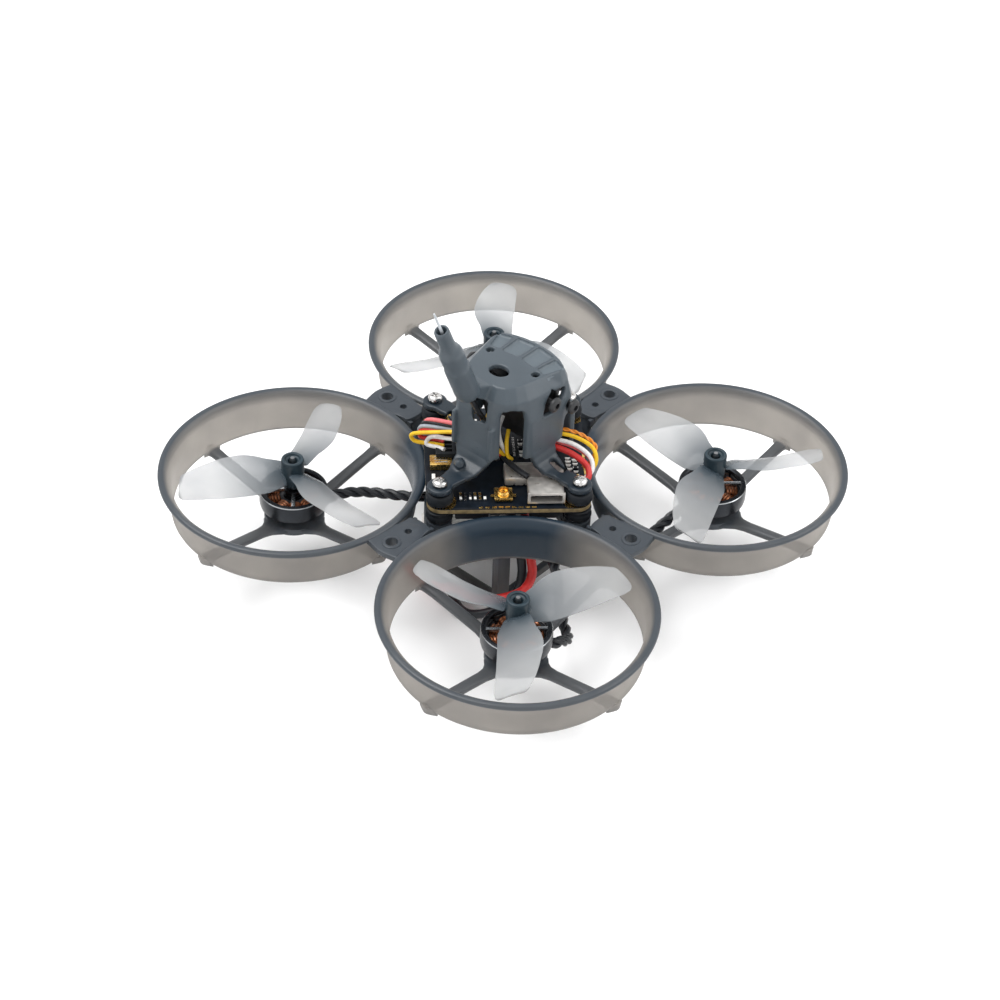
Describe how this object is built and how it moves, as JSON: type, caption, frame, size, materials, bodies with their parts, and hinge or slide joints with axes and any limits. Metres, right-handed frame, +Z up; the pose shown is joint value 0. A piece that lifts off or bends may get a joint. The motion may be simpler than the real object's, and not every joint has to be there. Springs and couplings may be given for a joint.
{
  "type": "fpv racing drone",
  "caption": "Small ducted quadcopter with turning propellers, brushless motors, a tilting nose camera under a canopy and a battery bay.",
  "frame": {"origin": "centre of the drone on the surface that it stands on, at the underside of the battery bay", "axes": "+Z up, +Y towards the nose, +X to the drone's right"},
  "size_m": [0.114, 0.114, 0.0718],
  "materials": {
    "frame_nylon": "translucent smoky nylon, semi-gloss",
    "canopy_nylon": "translucent smoky blue-grey, semi-gloss",
    "propeller": "milky translucent polycarbonate, glossy",
    "motor_black": "black anodised, turned",
    "copper_winding": "enamelled copper wire",
    "steel": "bright nickel plate",
    "rubber": "matte black silicone",
    "circuit_board": "black solder mask with gilt pads",
    "chip": "matte black epoxy",
    "gold_plate": "gold plate",
    "white_plastic": "white nylon",
    "camera_black": "fine matte black",
    "lens_glass": "coated glass",
    "black_wire": "silicone insulation, satin",
    "red_wire": "silicone insulation, satin",
    "yellow_wire": "silicone insulation, satin"
  },
  "bodies": {
    "frame": {"duct_front_left": "frame_nylon", "motor_base_front_left": "motor_black", "stator_front_left": "copper_winding", "motor_cable_front_left": "black_wire", "duct_front_right": "frame_nylon", "motor_base_front_right": "motor_black", "stator_front_right": "copper_winding", "motor_cable_front_right": "black_wire", "duct_rear_left": "frame_nylon", "motor_base_rear_left": "motor_black", "stator_rear_left": "copper_winding", "motor_cable_rear_left": "black_wire", "duct_rear_right": "frame_nylon", "motor_base_rear_right": "motor_black", "stator_rear_right": "copper_winding", "motor_cable_rear_right": "black_wire", "centre_frame": "frame_nylon", "grommet_front": "rubber", "canopy_screw_front": "steel", "grommet_right": "rubber", "canopy_screw_right": "steel", "grommet_rear": "rubber", "canopy_screw_rear": "steel", "grommet_left": "rubber", "canopy_screw_left": "steel", "flight_controller_board": "circuit_board", "usb_socket": "steel", "shield_can": "steel", "rf_connector": "gold_plate", "processor_chip": "chip", "motor_driver_chip": "chip", "wire_plug": "chip", "canopy": "canopy_nylon", "antenna_whip": "white_plastic", "battery_lead_black": "black_wire", "battery_lead_red": "red_wire", "battery_connector": "white_plastic", "camera_cable_left": "yellow_wire", "camera_cable_right": "red_wire", "antenna_cable": "black_wire"},
    "rotor_front_left": {"bell_front_left": "motor_black", "shaft_front_left": "steel", "propeller_front_left": "propeller"},
    "rotor_front_right": {"bell_front_right": "motor_black", "shaft_front_right": "steel", "propeller_front_right": "propeller"},
    "rotor_rear_left": {"bell_rear_left": "motor_black", "shaft_rear_left": "steel", "propeller_rear_left": "propeller"},
    "rotor_rear_right": {"bell_rear_right": "motor_black", "shaft_rear_right": "steel", "propeller_rear_right": "propeller"},
    "camera": {"camera_housing": "camera_black", "lens_barrel": "camera_black", "lens_glass": "lens_glass", "camera_pivot_screw_left": "steel", "camera_lock_screw_left": "steel", "camera_pivot_screw_right": "steel", "camera_lock_screw_right": "steel"},
    "boot_button": {"boot_button": "white_plastic"}
  },
  "joints": [
    {"name": "rotor_spin_front_left", "type": "hinge", "parent": "frame", "child": "rotor_front_left", "pos_m": [-0.03005, 0.03005, 0.018], "axis": [0, 0, 1], "continuous": true},
    {"name": "rotor_spin_front_right", "type": "hinge", "parent": "frame", "child": "rotor_front_right", "pos_m": [0.03005, 0.03005, 0.018], "axis": [0, 0, 1], "continuous": true},
    {"name": "rotor_spin_rear_left", "type": "hinge", "parent": "frame", "child": "rotor_rear_left", "pos_m": [-0.03005, -0.03005, 0.018], "axis": [0, 0, 1], "continuous": true},
    {"name": "rotor_spin_rear_right", "type": "hinge", "parent": "frame", "child": "rotor_rear_right", "pos_m": [0.03005, -0.03005, 0.018], "axis": [0, 0, 1], "continuous": true},
    {"name": "camera_tilt", "type": "hinge", "parent": "frame", "child": "camera", "pos_m": [0, 0.0072, 0.0403], "axis": [1, 0, 0], "range_deg": [-15, 10]},
    {"name": "boot_button_press", "type": "slide", "parent": "frame", "child": "boot_button", "axis": [0, 0, -1], "range_m": [0, 0.00025], "stiffness_N_per_m": 400}
  ]
}
